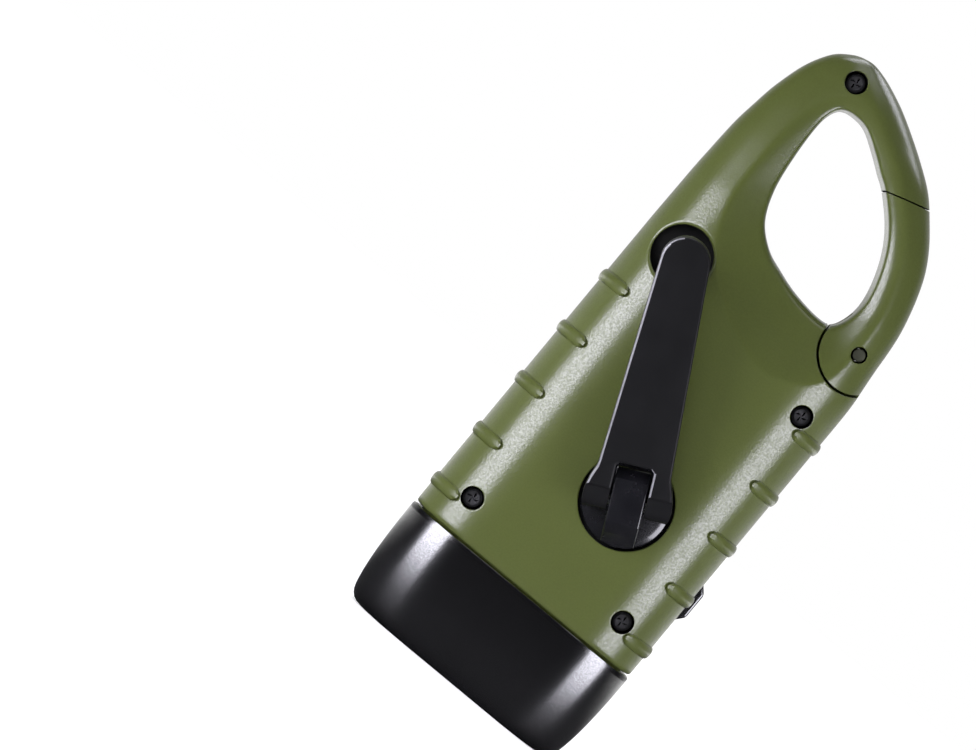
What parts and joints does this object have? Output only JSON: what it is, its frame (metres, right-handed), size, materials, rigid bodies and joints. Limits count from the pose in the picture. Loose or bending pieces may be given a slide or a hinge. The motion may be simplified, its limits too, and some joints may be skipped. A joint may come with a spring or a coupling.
{
  "type": "hand crank flashlight",
  "caption": "Pocket flashlight charged by a fold-out hand crank or a solar panel, switched by a side button, with a sprung carabiner at its tail.",
  "frame": {"origin": "centre of the flat lamp face, on which the flashlight stands", "axes": "+Z from the lamp face to the carabiner, +X towards the gate and the push button, +Y towards the solar panel, so the crank faces -Y"},
  "size_m": [0.054, 0.0448, 0.14],
  "materials": {
    "olive_plastic": "satin, fine grain",
    "black_plastic": "satin",
    "gloss_black_plastic": "polished",
    "clear_plastic": "clear",
    "reflector_plastic": "silvered",
    "solar_film": "smooth",
    "gear_plastic": "moulded",
    "led_epoxy": "clear domed",
    "board_laminate": "lacquered",
    "sleeve_film": "shrink film",
    "wire_red": "soft sheath",
    "wire_black": "soft sheath",
    "steel": "bright",
    "dark_steel": "blackened",
    "brass": "turned",
    "copper_winding": "enamelled winding"
  },
  "bodies": {
    "casing": {"front_shell": "olive_plastic", "rear_shell": "olive_plastic", "head_bezel": "black_plastic", "lens": "clear_plastic", "reflector": "reflector_plastic", "led_board": "board_laminate", "led_right": "led_epoxy", "led_middle": "led_epoxy", "led_left": "led_epoxy", "solar_frame": "black_plastic", "solar_cell": "solar_film", "solar_window": "clear_plastic", "gate_pin": "steel", "gate_spring": "steel", "button_switch": "gloss_black_plastic", "crank_bush": "brass", "idler_pin_one": "steel", "idler_pin_two": "steel", "plate_screw_1": "steel", "plate_screw_2": "steel", "plate_screw_3": "steel", "gear_plate": "steel", "stator_core": "steel", "stator_coil": "copper_winding", "generator_cover": "black_plastic", "coil_wire_red": "wire_red", "coil_wire_black": "wire_black", "battery_cell_1": "steel", "battery_cell_2": "steel", "battery_cell_3": "steel", "battery_sleeve": "sleeve_film", "battery_wire_red": "wire_red", "battery_wire_black": "wire_black", "main_board": "board_laminate", "led_wire_red": "wire_red", "led_wire_black": "wire_black", "solar_wire_red": "wire_red", "solar_wire_black": "wire_black", "case_screw_1": "dark_steel", "case_screw_2": "dark_steel", "case_screw_3": "dark_steel", "case_screw_4": "dark_steel"},
    "crank": {"crank_hub": "gloss_black_plastic", "crank_gear": "gear_plastic"},
    "crank_handle": {"crank_arm": "black_plastic", "crank_hinge_pin": "steel", "knob_screw": "dark_steel"},
    "knob": {"crank_knob": "black_plastic"},
    "gate": {"gate": "olive_plastic"},
    "button": {"push_button": "black_plastic"},
    "idler_one": {"idler_gear_one": "gear_plastic"},
    "idler_two": {"idler_gear_two": "gear_plastic"},
    "rotor": {"rotor_pinion": "steel", "rotor_magnet": "dark_steel"}
  },
  "joints": [
    {"name": "crank_spin", "type": "hinge", "parent": "casing", "child": "crank", "pos_m": [0.0045, 0, 0.0469], "axis": [0, -1, 0], "continuous": true},
    {"name": "handle_fold", "type": "hinge", "parent": "crank", "child": "crank_handle", "pos_m": [0.0045, -0.0186, 0.0469], "axis": [0.8973, 0, 0.4415], "range_deg": [0, 171]},
    {"name": "knob_spin", "type": "hinge", "parent": "crank_handle", "child": "knob", "pos_m": [-0.01596, -0.02511, 0.08848], "axis": [-0.0614, 0.9903, 0.1249], "continuous": true},
    {"name": "gate_swing", "type": "hinge", "parent": "casing", "child": "gate", "pos_m": [0.0205, 0, 0.096], "axis": [0, -1, 0], "range_deg": [0, 35], "stiffness_Nm_per_rad": 0.03, "springref_deg": -17.19},
    {"name": "button_press", "type": "slide", "parent": "casing", "child": "button", "axis": [-1, 0, 0], "range_m": [0, 0.0008], "stiffness_N_per_m": 1000, "springref_m": -0.0005},
    {"name": "idler_one_spin", "type": "hinge", "parent": "casing", "child": "idler_one", "pos_m": [-0.00866, 0, 0.04211], "axis": [0, -1, 0], "continuous": true},
    {"name": "idler_two_spin", "type": "hinge", "parent": "casing", "child": "idler_two", "pos_m": [-0.00965, 0, 0.05347], "axis": [0, -1, 0], "continuous": true},
    {"name": "rotor_spin", "type": "hinge", "parent": "casing", "child": "rotor", "pos_m": [-0.00425, 0, 0.06282], "axis": [0, -1, 0], "continuous": true}
  ],
  "couplings": [
    {"joint": "idler_one_spin", "follows": "crank_spin", "ratio": -3},
    {"joint": "idler_two_spin", "follows": "crank_spin", "ratio": 8.4},
    {"joint": "rotor_spin", "follows": "crank_spin", "ratio": -21.84}
  ]
}
